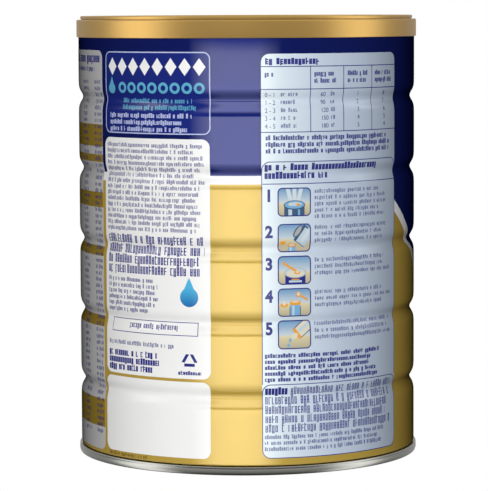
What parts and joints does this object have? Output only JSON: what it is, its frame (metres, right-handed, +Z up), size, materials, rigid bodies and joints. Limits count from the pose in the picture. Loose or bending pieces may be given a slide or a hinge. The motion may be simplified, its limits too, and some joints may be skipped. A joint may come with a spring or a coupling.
{
  "type": "infant formula tin",
  "caption": "Round steel tin of infant formula powder with rolled ribs, a seamed bottom end and a push-on plastic lid with a raised stacking ring.",
  "frame": {"origin": "centre of the circle that the tin stands on, at the foot of the bottom seam", "axes": "+Z up along the tin's axis, towards the lid; -Y is the side that the picture shows"},
  "size_m": [0.1288, 0.1288, 0.165],
  "materials": {
    "printed_steel": "glossy lacquered print in gold, dark blue and white on ribbed tinplate",
    "bare_steel": "bare tinplate, semi-bright",
    "gold_plastic": "satin metallic gold plastic"
  },
  "bodies": {
    "root": {"tin_body": "printed_steel", "base_end": "bare_steel", "lid": "gold_plastic"}
  },
  "joints": []
}
